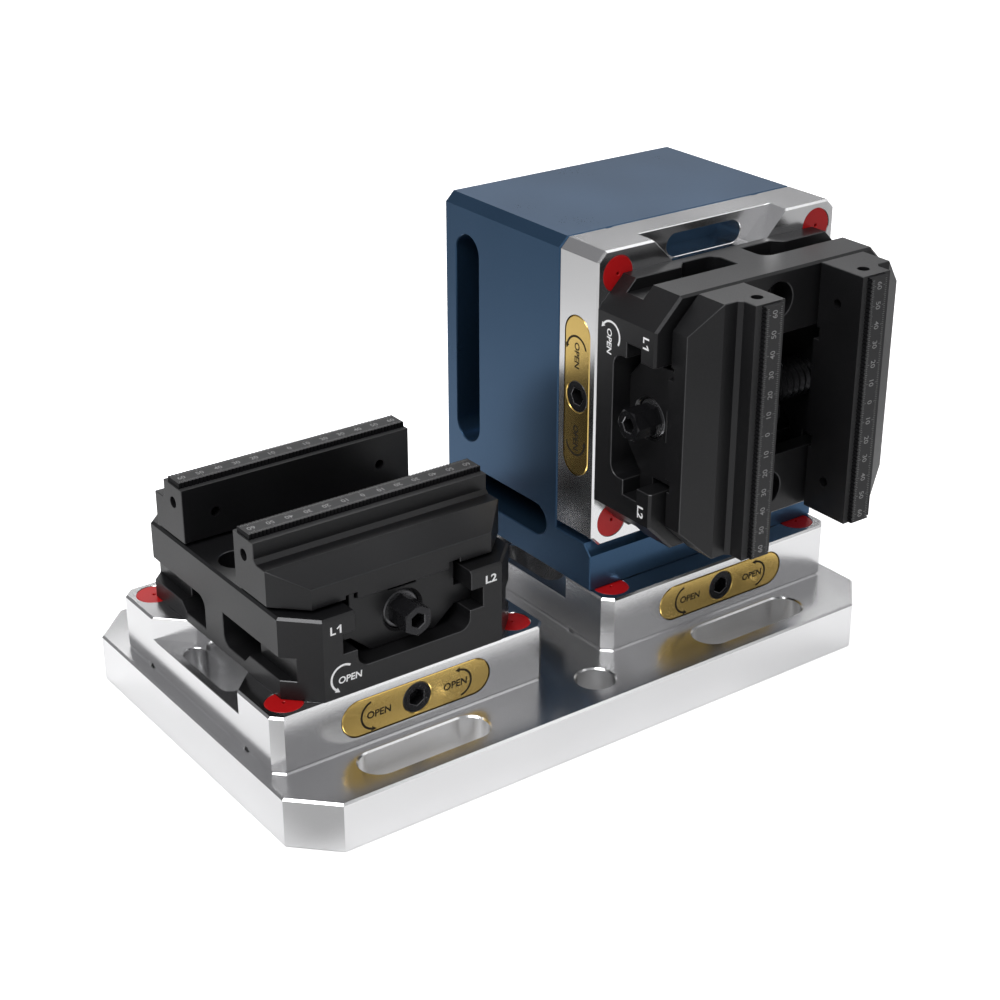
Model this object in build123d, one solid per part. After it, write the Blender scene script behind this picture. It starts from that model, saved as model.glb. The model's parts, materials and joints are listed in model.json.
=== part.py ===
from build123d import *
import os

os.makedirs("parts", exist_ok=True)

# Zero point fixture: a base plate carries two quick-change modules, the right
# one holds a tower with a third module on its front face, and a self-centring
# vise sits on the left module and on the tower's module. Everything is in mm,
# +Z up, with the origin at the centre of the base plate's underside.

# Base plate, as large as its two modules and their margins
module_pitch = 193.0
plate_end_margin = 6.0
plate_side_margin = 35.0
plate_height = 26.5
plate_corner = 20.0
plate_bevel = 1.0
module_offset_x = 1.0
module_offset_y = 1.5
clamp_slot_length = 71.0
clamp_slot_width = 20.0
clamp_slot_from_end = 77.5
clamp_slot_from_side = 20.0
handling_hole = 20.0
rim_chamfer = 0.8

# Clearances
seat_clearance = 0.02
run_clearance = 0.05
slide_clearance = 0.3
thread_clearance = 0.03

# Pull studs, described downwards from the face that they hang from
stud_pitch = 96.0
stud_locator = 20.0
stud_locator_length = 7.0
stud_taper = 1.6
stud_neck = 12.0
stud_neck_length = 5.4
stud_cone = 3.0
stud_head = 18.0
stud_head_length = 3.0
stud_tip = 15.0
stud_tip_length = 1.5
stud_thread = 12.0
stud_thread_length = 12.0
stud_thread_room = 1.5

# Quick-change module, laid out from its four stud places
stud_to_side = 29.5
module_height = 29.5
module_corner = 5.0
module_bevel = 1.0
bolt_inset = 12.5
pry_notch_width = 4.0
pry_notch_height = 1.5
pry_notch_depth = 3.0

# Side pockets of a module, with a clamping slot in each ledge
pocket_mouth = 87.0
pocket_depth = 16.5
pocket_ledge = 17.1
pocket_fillet = 3.0
ledge_slot_width = 12.0
ledge_slot_length = 48.5
ledge_slot_inset = 10.25

# Front plate and drive screw
front_plate_length = 85.0
front_plate_height = 20.0
front_plate_thickness = 5.0
drive_height = 15.0
drive_head = 16.0
drive_head_recess = 0.3
drive_shoulder = 1.0
drive_flange_length = 3.8
drive_thread = 10.0
drive_relief = 8.0
drive_relief_length = 40.0
drive_tail = 9.5
drive_socket = 8.0
drive_socket_depth = 5.5
centre_bore = 12.0

# Lock bars, which slide in two chambers and grip the stud necks
chamber_behind = 19.0
chamber_beyond = 2.5
deck_thickness = 8.5
stud_head_room = 1.0
bar_width = 13.0
bar_end = 11.0
bar_back_gap = 1.0
bar_top_gap = 0.2
bar_lip_gap = 0.2
bar_grip_gap = 0.05
bar_relief = 3.3
cover_gap = 0.3
cover_thickness = 4.4
cover_margin = 1.8
cover_beyond = 11.5
cover_behind = 3.0
cover_tongue_length = 100.0
cover_tongue = 9.0
cover_corner = 8.0
cover_screw_thread = 4.0
cover_screw_head = 7.5
cover_screw_length = 10.0
cover_screw_outer_x = 24.0
cover_screw_outer_inset = 5.5
cover_screw_inner_x = 30.0
cover_screw_inner_inset = 4.5

# Stud bushes
bush_wall = 3.0
bush_rim = 2.0
bush_flange_height = 2.5
bush_recess = 0.1
bush_entry = 1.0

# Mounting bolts and their caps
bolt_thread = 8.0
bolt_head = 13.0
bolt_head_height = 8.0
bolt_head_room = 0.5
bolt_shank_room = 0.5
bolt_sink = 14.5
bolt_engagement = 14.0
bolt_tip_room = 2.0
cap_rim = 2.0
cap_thickness = 3.0
cap_recess = 0.1
cap_pinhole = 1.6

# Tower
tower_front = 34.5
tower_back = 63.0
tower_top_chamfer = 5.0
tower_bevel = 1.0
foot_height = 25.0
foot_setback = 1.0
foot_chamfer = 5.5
tall_slot_width = 20.0
tall_slot_length = 114.8
tall_slot_from_back = 19.8
tall_slot_rise = 1.5
low_slot_width = 17.5
low_slot_length = 80.3
low_slot_centre = 23.4
tower_slot_depth = 40.0

# Vise body
vise_width = 130.0
vise_setback = 0.5
vise_height = 42.5
vise_corner = 15.0
vise_bevel = 1.2
channel_width = 64.6
channel_step = 0.8
channel_floor = 12.5
channel_radius = 6.0
tee_depth = 6.9
tee_bottom = 22.0
tee_height = 10.3
side_groove_depth = 6.0
side_groove_bottom = 10.0
side_groove_top = 22.0
side_groove_start = 34.0
window_inner = 9.0
window_ramp = 5.0
window_bottom = 5.0
window_round = 6.0
window_depth = 24.0
hold_down_from_channel = 17.7
hold_down_hole = 13.5
hold_down_rim = 2.75
hold_down_depth = 13.0

# Spindle and its centre block
spindle_height = 28.0
spindle_thread = 20.0
spindle_end_inset = 12.0
spindle_chamfer = 0.8
spindle_neck = 14.0
spindle_hex = 14.0
spindle_hex_chamfer = 1.0
spindle_proud = 2.8
spindle_socket = 7.0
spindle_socket_depth = 9.0
block_width = 32.0
block_length = 17.0
block_sink = 2.5
block_fillet = 3.0
block_screw_thread = 6.0
block_screw_head = 10.0
block_screw_head_height = 6.0
block_screw_spacing = 20.0
block_screw_engagement = 7.0
block_screw_recess = 0.5

# Jaws, counted outwards from the vise's middle and upwards from their carriers
jaw_inner = 25.3
jaw_grip_length = 18.2
jaw_flare = 2.0
jaw_ledge_length = 8.0
jaw_slope_length = 15.0
jaw_slope_drop = 7.7
jaw_corner = 15.0
jaw_height = 29.8
jaw_ledge_drop = 9.9
jaw_underside_rise = 1.7
grip_setback = 3.0
grip_length = 11.3
grip_height = 2.9
grip_inset = 0.7
tooth_pitch = 2.0
tooth_depth = 0.8
jaw_screw_x = 19.5
jaw_screw_insets = (24.5, 8.5)
jaw_screw_thread = 8.0
jaw_screw_hole = 9.0
jaw_screw_head = 13.0
jaw_screw_head_height = 8.0
jaw_screw_sink = 12.6
jaw_screw_engagement = 14.0
stop_hole = 6.0
stop_hole_depth = 12.0
stop_hole_setback = 9.2
stop_hole_drop = 9.0
face_hole = 5.0
face_hole_depth = 12.0
face_hole_inset = 17.8
face_hole_drop = 15.4

# Carriers, which run in the body's tee slot on the spindle's thread
carrier_setback = 2.0
carrier_length = 33.2
carrier_side_gap = 3.0
carrier_bottom_width = 36.0
carrier_proud = 0.1
carrier_lug_width = 3.1
carrier_lug_height = 3.4
carrier_sink = 1.35
lug_side_gap = 0.6
lug_outer_gap = 2.5
lug_top_gap = 0.2
key_slot_width = 15.8
key_slot_height = 2.0
key_slot_depth = 4.0

# Plate and modules
module_size = stud_pitch + 2 * stud_to_side
module_half = module_size / 2
stud_half = stud_pitch / 2
bolt_place = module_half - bolt_inset
plate_length = module_pitch + module_size + 2 * plate_end_margin
plate_width = module_size + 2 * plate_side_margin
left_x = module_offset_x - module_pitch / 2
right_x = module_offset_x + module_pitch / 2
deck = plate_height + module_height

# Heights along a pull stud
stud_neck_start = stud_locator_length + stud_taper
stud_neck_end = stud_neck_start + stud_neck_length
stud_head_start = stud_neck_end + stud_cone
stud_head_end = stud_head_start + stud_head_length
stud_length = stud_head_end + stud_tip_length

# Lock chamber, its bar and its cover, on the module's +Y side
chamber_inner = stud_half - chamber_behind
chamber_outer = stud_half + chamber_beyond
chamber_floor = cover_gap + cover_thickness
chamber_roof = module_height - deck_thickness
stud_room = stud_head + 2 * stud_head_room
bar_length = stud_pitch + 2 * bar_end
bar_inner = chamber_inner + bar_back_gap
bar_lip_top = chamber_roof - bar_top_gap
bar_lip_bottom = module_height - stud_neck_end - bar_grip_gap
bar_lip_radius = stud_head / 2 + bar_lip_gap
chamber_half_length = bar_length / 2 + slide_clearance
cover_length = 2 * (chamber_half_length + cover_margin)
cover_outer = chamber_outer + cover_beyond
cover_step = chamber_inner - cover_behind
cover_inner = cover_step - cover_tongue

# Bores and seats in a module
drive_flange = drive_head + 2 * drive_shoulder
bush_outer = stud_locator + 2 * bush_wall
bush_flange = bush_outer + 2 * bush_rim
bolt_hole = bolt_thread + 2 * bolt_shank_room
bolt_counterbore = bolt_head + 2 * bolt_head_room
bolt_seat = module_height - bolt_sink
cap_diameter = bolt_counterbore + 2 * cap_rim

# Tower heights
tower_height = foot_height + module_size
tower_face_y = module_offset_y - tower_front
face_centre = foot_height + module_half
foot_reach = module_height - foot_setback

# Vise sections
vise_length = module_size - 2 * vise_setback
channel_half = channel_width / 2
tee_top = tee_bottom + tee_height
tee_half = channel_half + tee_depth
hold_down_x = channel_half + hold_down_from_channel
spindle_end = vise_length / 2 - spindle_end_inset
spindle_nose = vise_length / 2 + spindle_proud
block_top = vise_height - block_sink
carrier_top = vise_height + carrier_proud
carrier_half = channel_half - carrier_side_gap
jaw_back = jaw_inner + jaw_grip_length
jaw_outer = jaw_back + jaw_flare + jaw_ledge_length + jaw_slope_length
jaw_top = carrier_top + jaw_height
jaw_ledge = jaw_top - jaw_ledge_drop
carrier_outer = jaw_outer - carrier_setback
jaw_screw_seat = carrier_top - jaw_screw_sink


def turned(points):
    """A solid of revolution about Z from (radius, height) points."""
    outline = Plane.XZ * make_face(Polyline(*points, close=True))
    return revolve(outline, Axis.Z)


def drilled(diameter, bottom, top):
    """A cylinder along Z between two heights."""
    upright = (Align.CENTER, Align.CENTER, Align.MIN)
    return Pos(0, 0, bottom) * Cylinder(diameter / 2, top - bottom, align=upright)


def block(x_low, x_high, y_low, y_high, z_low, z_high):
    """A box between two corners."""
    size = (x_high - x_low, y_high - y_low, z_high - z_low)
    return Pos(x_low, y_low, z_low) * Box(*size, align=(Align.MIN, Align.MIN, Align.MIN))


def corners(half_x, half_y):
    """The four points of a rectangle about the origin."""
    return [(x, y) for x in (-half_x, half_x) for y in (-half_y, half_y)]


def at_places(piece, places):
    """Copies of a piece at several (x, y) places, as one cutter or one group."""
    return [Pos(x, y, 0) * piece for x, y in places]


def cut_all(body, cutters):
    """A body less every cutter in a list."""
    for cutter in cutters:
        body = body - cutter
    return body


def hex_prism(across_flats, bottom, top):
    """A hexagonal prism along Z with two corners on the Y axis."""
    outline = Rot(0, 0, 30) * RegularPolygon(across_flats / 2, 6, major_radius=False)
    return Pos(0, 0, bottom) * extrude(outline, top - bottom)


def cornered_slab(length, width, height, corner, bevel, both=True):
    """A slab with chamfered plan corners and bevelled rims."""
    outline = Rectangle(length, width)
    outline = chamfer(outline.vertices(), corner)
    slab = extrude(outline, height)
    faces = slab.faces().sort_by(Axis.Z)
    rims = list(faces[-1].edges())
    if both:
        rims += list(faces[0].edges())
    return chamfer(rims, bevel)


def along_y(piece, x, y, z):
    """Turns a piece made along Z so that its +Z points along +Y, and places it."""
    return Pos(x, y, z) * Rot(-90, 0, 0) * piece


def base_plate():
    plate = cornered_slab(plate_length, plate_width, plate_height, plate_corner, plate_bevel)
    slot_x = plate_length / 2 - clamp_slot_from_end
    slot_y = plate_width / 2 - clamp_slot_from_side
    through = plate_height + 2 * plate_bevel
    slot = Pos(0, 0, -plate_bevel) * extrude(SlotOverall(clamp_slot_length, clamp_slot_width), through)
    hole = drilled(handling_hole, -plate_bevel, plate_height + plate_bevel)
    cutters = at_places(slot, corners(slot_x, slot_y))
    cutters += at_places(hole, [(0, -slot_y), (0, slot_y)])
    depth = bolt_engagement + bolt_tip_room
    tapped = drilled(bolt_thread + 2 * thread_clearance, plate_height - depth, plate_height + plate_bevel)
    for x in (left_x, right_x):
        places = [(x + a, module_offset_y + b) for a, b in corners(bolt_place, bolt_place)]
        cutters += at_places(tapped, places)
    plate = cut_all(plate, cutters)
    return chamfer(opening_rims(plate, bolt_thread * 2), rim_chamfer)


def opening_rims(body, least_size):
    """Edges round a plate's through openings, on both faces, leaving out the small ones."""
    faces = body.faces().sort_by(Axis.Z)
    wires = [wire for face in (faces[0], faces[-1]) for wire in face.inner_wires()]
    return [edge for wire in wires if wire.bounding_box().size.Y > least_size for edge in wire.edges()]


def side_pocket():
    """Cutter for the pocket and ledge slot in a module's +X side."""
    wall = module_half - pocket_depth
    mouth = pocket_mouth / 2
    back = mouth - pocket_depth
    over = 2.0
    points = [(module_half, -mouth), (wall, -back), (wall, back), (module_half, mouth)]
    points += [(module_half + over, mouth), (module_half + over, -mouth)]
    outline = make_face(Polyline(*points, close=True))
    inner = outline.vertices().sort_by(Axis.X)[0:2]
    outline = fillet(inner, pocket_fillet)
    recess = Pos(0, 0, pocket_ledge) * extrude(outline, module_height - pocket_ledge + over)
    slot = Rot(0, 0, 90) * SlotOverall(ledge_slot_length, ledge_slot_width)
    slot = Pos(module_half - ledge_slot_inset, 0, -over) * extrude(slot, pocket_ledge + 2 * over)
    return recess + slot


def lock_chamber():
    """Cutter for the room of one lock bar, on the +Y side of a module."""
    room = block(
        -chamber_half_length, chamber_half_length, chamber_inner, chamber_outer, chamber_floor, chamber_roof
    )
    well = drilled(stud_room, chamber_floor, chamber_roof)
    for well in at_places(well, [(-stud_half, stud_half), (stud_half, stud_half)]):
        room = room + well
    return room


def cover_outline(clearance):
    """Plan of one chamber cover on the +Y side, grown by a clearance."""
    wide = Pos(0, (cover_step + cover_outer) / 2) * Rectangle(
        cover_length + 2 * clearance, cover_outer - cover_step + 2 * clearance
    )
    wide = fillet(wide.vertices().group_by(Axis.Y)[-1], cover_corner)
    tongue_end = cover_step + clearance
    tongue = Pos(0, (cover_inner - clearance + tongue_end) / 2) * Rectangle(
        cover_tongue_length + 2 * clearance, tongue_end - cover_inner + clearance
    )
    return wide + tongue


def cover_screw_places():
    outer_y = cover_outer - cover_screw_outer_inset
    inner_y = cover_inner + cover_screw_inner_inset
    places = [(x, outer_y) for x in (-cover_screw_outer_x, cover_screw_outer_x)]
    places += [(x, inner_y) for x in (-cover_screw_inner_x, cover_screw_inner_x)]
    return places


def both_sides(piece):
    """A piece and its copy turned half a turn about Z."""
    return [piece, Rot(0, 0, 180) * piece]


def drive_bores():
    """Cutters for the drive screw's bores and the front plate's seat, along Y."""
    front_seat = front_plate_thickness
    flange_room = front_seat + drive_flange_length + 2 * run_clearance
    journal_end = module_size - (module_half - chamber_outer) + drive_tail + bolt_tip_room
    plate_seat = Pos(0, -module_half + front_plate_thickness / 2, drive_height) * Rot(90, 0, 0) * extrude(
        SlotOverall(front_plate_length, front_plate_height), front_plate_thickness / 2, both=True
    )
    flange_bore = drilled(drive_flange + 4 * run_clearance, 0, flange_room)
    journal = drilled(drive_thread + 2 * run_clearance, 0, journal_end)
    middle = drilled(centre_bore, module_half - chamber_inner - 1, module_half + chamber_inner + 1)
    cutters = [plate_seat]
    for bore in (flange_bore, journal, middle):
        cutters.append(along_y(bore, 0, -module_half, drive_height))
    return cutters


def module_body():
    body = cornered_slab(module_size, module_size, module_height, module_corner, module_bevel)
    over = 2.0
    cutters = both_sides(side_pocket())
    cutters += both_sides(lock_chamber())
    lid_seat = extrude(cover_outline(slide_clearance), chamber_floor + over)
    cutters += both_sides(Pos(0, 0, -over) * lid_seat)
    cutters += drive_bores()
    bush_hole = drilled(bush_outer + 2 * seat_clearance, chamber_roof - over, module_height + over)
    flange_bottom = module_height - bush_recess - bush_flange_height
    flange_hole = drilled(bush_flange + 2 * seat_clearance, flange_bottom, module_height + over)
    cutters += at_places(bush_hole, corners(stud_half, stud_half))
    cutters += at_places(flange_hole, corners(stud_half, stud_half))
    cap_seat = module_height - cap_recess - cap_thickness
    bolt_cutters = [
        drilled(bolt_hole, -over, bolt_seat + over),
        drilled(bolt_counterbore, bolt_seat, module_height),
        drilled(cap_diameter + 2 * seat_clearance, cap_seat, module_height + over),
    ]
    for cutter in bolt_cutters:
        cutters += at_places(cutter, corners(bolt_place, bolt_place))
    screw_top = cover_gap + cover_screw_length + 1
    screw_hole = drilled(cover_screw_thread + 2 * thread_clearance, 0, screw_top)
    for x, y in cover_screw_places():
        cutters += both_sides(Pos(x, y, 0) * screw_hole)
    notch = block(
        module_half - pry_notch_depth,
        module_half + over,
        -pry_notch_width / 2,
        pry_notch_width / 2,
        -over,
        pry_notch_height,
    )
    for y in (-stud_half, stud_half):
        cutters += both_sides(Pos(0, y, 0) * notch)
    return cut_all(body, cutters)


def module_covers():
    lid = Pos(0, 0, cover_gap) * extrude(cover_outline(0), cover_thickness)
    head_depth = (cover_screw_head - cover_screw_thread) / 2
    sink = turned(
        [
            (0, cover_gap - 1),
            (cover_screw_head / 2 + 1 + thread_clearance, cover_gap - 1),
            (cover_screw_thread / 2 + thread_clearance, cover_gap + head_depth),
            (cover_screw_thread / 2 + thread_clearance, cover_gap + cover_thickness + 1),
            (0, cover_gap + cover_thickness + 1),
        ]
    )
    lid = cut_all(lid, at_places(sink, cover_screw_places()))
    return both_sides(lid)


def cover_screws():
    head_depth = (cover_screw_head - cover_screw_thread) / 2
    screw = turned(
        [
            (0, cover_gap),
            (cover_screw_head / 2, cover_gap),
            (cover_screw_thread / 2, cover_gap + head_depth),
            (cover_screw_thread / 2, cover_gap + cover_screw_length),
            (0, cover_gap + cover_screw_length),
        ]
    )
    group = []
    for x, y in cover_screw_places():
        group += both_sides(Pos(x, y, 0) * screw)
    return group


def front_plate():
    length = front_plate_length - 2 * run_clearance
    height = front_plate_height - 2 * run_clearance
    plate = extrude(SlotOverall(length, height), front_plate_thickness)
    plate = plate - drilled(drive_head + 2 * run_clearance, -1, front_plate_thickness + 1)
    return along_y(plate, 0, -module_half, drive_height)


def drive_screw():
    flange_start = front_plate_thickness + run_clearance
    flange_end = flange_start + drive_flange_length
    tail = module_half + chamber_outer + drive_tail
    relief_low = module_half - drive_relief_length / 2
    relief_high = module_half + drive_relief_length / 2
    screw = turned(
        [
            (0, drive_head_recess),
            (drive_head / 2, drive_head_recess),
            (drive_head / 2, flange_start),
            (drive_flange / 2, flange_start),
            (drive_flange / 2, flange_end),
            (drive_thread / 2, flange_end),
            (drive_thread / 2, relief_low),
            (drive_relief / 2, relief_low),
            (drive_relief / 2, relief_high),
            (drive_thread / 2, relief_high),
            (drive_thread / 2, tail),
            (0, tail),
        ]
    )
    screw = screw - hex_prism(drive_socket, -1, drive_socket_depth)
    return along_y(screw, 0, -module_half, drive_height)


def lock_bar():
    """The bar of the +Y chamber, drawn back so that its stud seats are clear."""
    bottom = chamber_floor + run_clearance
    relief_radius = bar_lip_radius + bar_relief
    bar = block(-bar_length / 2, bar_length / 2, bar_inner, bar_inner + bar_width, bottom, bar_lip_top)
    seat = turned(
        [
            (0, bottom - 1),
            (relief_radius, bottom - 1),
            (relief_radius, bar_lip_bottom - bar_relief),
            (bar_lip_radius, bar_lip_bottom),
            (bar_lip_radius, bar_lip_top + 1),
            (0, bar_lip_top + 1),
        ]
    )
    bar = cut_all(bar, at_places(seat, [(-stud_half, stud_half), (stud_half, stud_half)]))
    nut = drilled(drive_thread + 2 * run_clearance, 0, module_size)
    return bar - along_y(nut, 0, 0, drive_height)


def stud_bushes():
    top = module_height - bush_recess
    inner = stud_locator / 2 + thread_clearance
    bush = turned(
        [
            (inner, chamber_roof),
            (bush_outer / 2, chamber_roof),
            (bush_outer / 2, top - bush_flange_height),
            (bush_flange / 2, top - bush_flange_height),
            (bush_flange / 2, top),
            (inner + bush_entry, top),
            (inner, top - bush_entry),
        ]
    )
    return at_places(bush, corners(stud_half, stud_half))


def module_bolts():
    bolt = turned(
        [
            (0, -bolt_engagement),
            (bolt_thread / 2, -bolt_engagement),
            (bolt_thread / 2, bolt_seat),
            (bolt_head / 2, bolt_seat),
            (bolt_head / 2, bolt_seat + bolt_head_height),
            (0, bolt_seat + bolt_head_height),
        ]
    )
    return at_places(bolt, corners(bolt_place, bolt_place))


def module_caps():
    top = module_height - cap_recess
    cap = drilled(cap_diameter, top - cap_thickness, top)
    cap = cap - drilled(cap_pinhole, top - cap_thickness - 1, top + 1)
    return at_places(cap, corners(bolt_place, bolt_place))


def pull_studs():
    """Four studs hanging from the plane z = 0, threaded up into their carrier."""
    stud = turned(
        [
            (0, stud_thread_length),
            (stud_thread / 2, stud_thread_length),
            (stud_thread / 2, 0),
            (stud_locator / 2, 0),
            (stud_locator / 2, -stud_locator_length),
            (stud_neck / 2, -stud_neck_start),
            (stud_neck / 2, -stud_neck_end),
            (stud_head / 2, -stud_head_start),
            (stud_head / 2, -stud_head_end),
            (stud_tip / 2, -stud_length),
            (0, -stud_length),
        ]
    )
    return at_places(stud, corners(stud_half, stud_half))


def stud_threads():
    hole = drilled(stud_thread + 2 * thread_clearance, -1, stud_thread_length + stud_thread_room)
    return at_places(hole, corners(stud_half, stud_half))


def tower_block():
    """The tower, with z = 0 on its underside and y = 0 over the module's centre."""
    front = -tower_front
    toe = front - foot_reach
    points = [
        (toe, 0),
        (tower_back, 0),
        (tower_back, tower_height),
        (front, tower_height),
        (front, foot_height),
        (toe + foot_chamfer, foot_height),
        (toe, foot_height - foot_chamfer),
    ]
    outline = Plane.YZ * make_face(Polyline(*points, close=True))
    tower = extrude(outline, module_half, both=True)
    top = tower.faces().sort_by(Axis.Z)[-1]
    tower = chamfer(top.edges().filter_by(Axis.Y), tower_top_chamfer)
    back_edges = tower.faces().sort_by(Axis.Y)[-1].edges()
    tower = chamfer(back_edges, tower_bevel)
    depth_start = module_half - tower_slot_depth
    tall_y = tower_back - tall_slot_from_back
    low_y = (tower_back - tower_front) / 2
    tall_z = face_centre + tall_slot_rise
    side = Plane.YZ.offset(depth_start)
    tall = side * Pos(tall_y, tall_z) * Rot(0, 0, 90) * SlotOverall(tall_slot_length, tall_slot_width)
    low = side * Pos(low_y, low_slot_centre) * SlotOverall(low_slot_length, low_slot_width)
    for slot in (tall, low):
        cutter = extrude(slot, tower_slot_depth + 1)
        tower = tower - cutter - mirror(cutter, Plane.YZ)
    tapped = drilled(bolt_thread + 2 * thread_clearance, -1, bolt_engagement + bolt_tip_room)
    for x, z in corners(bolt_place, bolt_place):
        tower = tower - along_y(tapped, x, front, face_centre + z)
    return cut_all(tower, stud_threads())


def vise_body():
    body = cornered_slab(vise_width, vise_length, vise_height, vise_corner, vise_bevel, both=False)
    half_length = vise_length / 2
    over = 2.0
    rail = channel_half
    tee = tee_half
    mid = channel_half - channel_step
    points = [
        (-rail, vise_height + over),
        (-rail, tee_top),
        (-tee, tee_top),
        (-tee, tee_bottom),
        (-mid, tee_bottom),
        (-mid, channel_floor),
        (mid, channel_floor),
        (mid, tee_bottom),
        (tee, tee_bottom),
        (tee, tee_top),
        (rail, tee_top),
        (rail, vise_height + over),
    ]
    outline = make_face(Polyline(*points, close=True))
    outline = fillet(outline.vertices().group_by(Axis.Y)[0], channel_radius)
    cutters = [extrude(Plane.XZ * outline, half_length + over, both=True)]
    wall = vise_width / 2
    for y_low, y_high in ((side_groove_start, half_length + over), (-half_length - over, -side_groove_start)):
        inner = wall - side_groove_depth
        groove = block(inner, wall + over, y_low, y_high, side_groove_bottom, side_groove_top)
        cutters += [groove, mirror(groove, Plane.YZ)]
    cutters += side_windows()
    hold_down = drilled(hold_down_hole, -over, vise_height + over)
    sink = drilled(hold_down_hole + 2 * hold_down_rim, vise_height - hold_down_depth, vise_height + over)
    places = [(-hold_down_x, 0), (hold_down_x, 0)]
    cutters += at_places(hold_down, places)
    cutters += at_places(sink, places)
    head_room = block_screw_recess + block_screw_head_height
    screw_hole = drilled(block_screw_thread + 2 * run_clearance, -over, channel_floor + over)
    head_hole = drilled(block_screw_head + 4 * run_clearance, -over, head_room)
    block_places = [(-block_screw_spacing / 2, 0), (block_screw_spacing / 2, 0)]
    cutters += at_places(screw_hole, block_places)
    cutters += at_places(head_hole, block_places)
    cutters += stud_threads()
    return cut_all(body, cutters)


def side_windows():
    """Cutters for the four clamping windows in the body's sides."""
    over = 2.0
    wall = vise_width / 2
    ramp_start = side_groove_start - window_ramp
    low = [
        (window_inner, window_bottom),
        (window_inner, side_groove_top),
        (side_groove_start + 0.5, side_groove_top),
        (side_groove_start + 0.5, side_groove_bottom),
        (side_groove_start, side_groove_bottom),
        (ramp_start, window_bottom),
    ]
    outline = make_face(Polyline(*low, close=True))
    inner_edge = outline.vertices().group_by(Axis.X)[0]
    rounded_top = fillet(inner_edge.sort_by(Axis.Y)[-1], window_round)
    rounded_bottom = fillet(inner_edge.sort_by(Axis.Y)[0], window_round)
    cutters = []
    side = Plane.YZ.offset(wall - window_depth)
    rear = extrude(side * rounded_top, window_depth + over)
    front = mirror(extrude(side * rounded_bottom, window_depth + over), Plane.XZ)
    for cutter in (rear, front):
        cutters += [cutter, mirror(cutter, Plane.YZ)]
    return cutters


def spindle():
    nose = spindle_nose
    end = spindle_end
    neck = block_length / 2 + run_clearance
    r = spindle_thread / 2
    shaft = turned(
        [
            (0, -end),
            (r - spindle_chamfer, -end),
            (r, -end + spindle_chamfer),
            (r, -neck),
            (spindle_neck / 2, -neck),
            (spindle_neck / 2, neck),
            (r, neck),
            (r, end - spindle_chamfer),
            (r - spindle_chamfer, end),
            (0, end),
        ]
    )
    tip = spindle_hex / 2
    tip_limit = turned(
        [
            (0, -nose),
            (tip, -nose),
            (tip + 2 * spindle_hex_chamfer, -nose + spindle_hex_chamfer),
            (tip + 2 * spindle_hex_chamfer, -end + 1),
            (0, -end + 1),
        ]
    )
    drive = hex_prism(spindle_hex, -nose, -end + 1) & tip_limit
    shaft = shaft + drive
    shaft = shaft - hex_prism(spindle_socket, -nose - 1, -nose + spindle_socket_depth)
    return along_y(shaft, 0, 0, spindle_height)


def centre_block():
    half_x = block_width / 2
    half_y = block_length / 2
    holder = block(-half_x, half_x, -half_y, half_y, channel_floor, block_top)
    uprights = holder.edges().filter_by(Axis.Z)
    holder = fillet(uprights, block_fillet)
    gap = spindle_neck / 2 + run_clearance
    over = 1.0
    holder = holder - block(-gap, gap, -block_length, block_length, spindle_height, block_top + over)
    cradle = drilled(2 * gap, -block_length, block_length)
    holder = holder - along_y(cradle, 0, 0, spindle_height)
    thread_top = channel_floor + block_screw_engagement + over
    tapped = drilled(block_screw_thread + 2 * thread_clearance, 0, thread_top)
    places = [(-block_screw_spacing / 2, 0), (block_screw_spacing / 2, 0)]
    return cut_all(holder, at_places(tapped, places))


def centre_block_screws():
    screw = turned(
        [
            (0, block_screw_recess),
            (block_screw_head / 2, block_screw_recess),
            (block_screw_head / 2, block_screw_recess + block_screw_head_height),
            (block_screw_thread / 2, block_screw_recess + block_screw_head_height),
            (block_screw_thread / 2, channel_floor + block_screw_engagement),
            (0, channel_floor + block_screw_engagement),
        ]
    )
    return at_places(screw, [(-block_screw_spacing / 2, 0), (block_screw_spacing / 2, 0)])


def carrier():
    """The carrier of the +Y jaw."""
    rail = carrier_half
    wing = tee_half - slide_clearance
    wing_bottom = tee_bottom + slide_clearance
    wing_top = tee_top - slide_clearance
    belly = carrier_bottom_width / 2
    bottom = channel_floor + slide_clearance
    lug = rail - carrier_lug_width
    lug_top = carrier_top + carrier_lug_height
    right = [
        (belly, bottom),
        (rail, wing_bottom),
        (wing, wing_bottom),
        (wing, wing_top),
        (rail, wing_top),
        (rail, lug_top),
        (lug, lug_top),
        (lug, carrier_top),
    ]
    left = [(-x, z) for x, z in reversed(right)]
    outline = Plane.XZ * make_face(Polyline(*right, *left, close=True))
    inner = carrier_outer - carrier_length
    body = Pos(0, inner, 0) * extrude(outline, -carrier_length)
    bore_radius = spindle_thread / 2 + run_clearance
    bore = turned(
        [
            (0, inner - 1),
            (bore_radius, inner - 1),
            (bore_radius, carrier_outer - carrier_sink),
            (bore_radius + carrier_sink, carrier_outer),
            (bore_radius + carrier_sink, carrier_outer + 1),
            (0, carrier_outer + 1),
        ]
    )
    body = body - along_y(bore, 0, 0, spindle_height)
    body = body - block(
        -key_slot_width / 2,
        key_slot_width / 2,
        carrier_outer - key_slot_depth,
        carrier_outer + 1,
        carrier_top - key_slot_height,
        carrier_top + 1,
    )
    hole = drilled(jaw_screw_hole, 0, carrier_top + 1)
    head = drilled(jaw_screw_head + 1, 0, jaw_screw_seat)
    body = cut_all(body, at_places(hole, jaw_screw_places()))
    return cut_all(body, at_places(head, jaw_screw_places()))


def jaw_screw_places():
    return [(x, carrier_outer - inset) for x in (-jaw_screw_x, jaw_screw_x) for inset in jaw_screw_insets]


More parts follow.
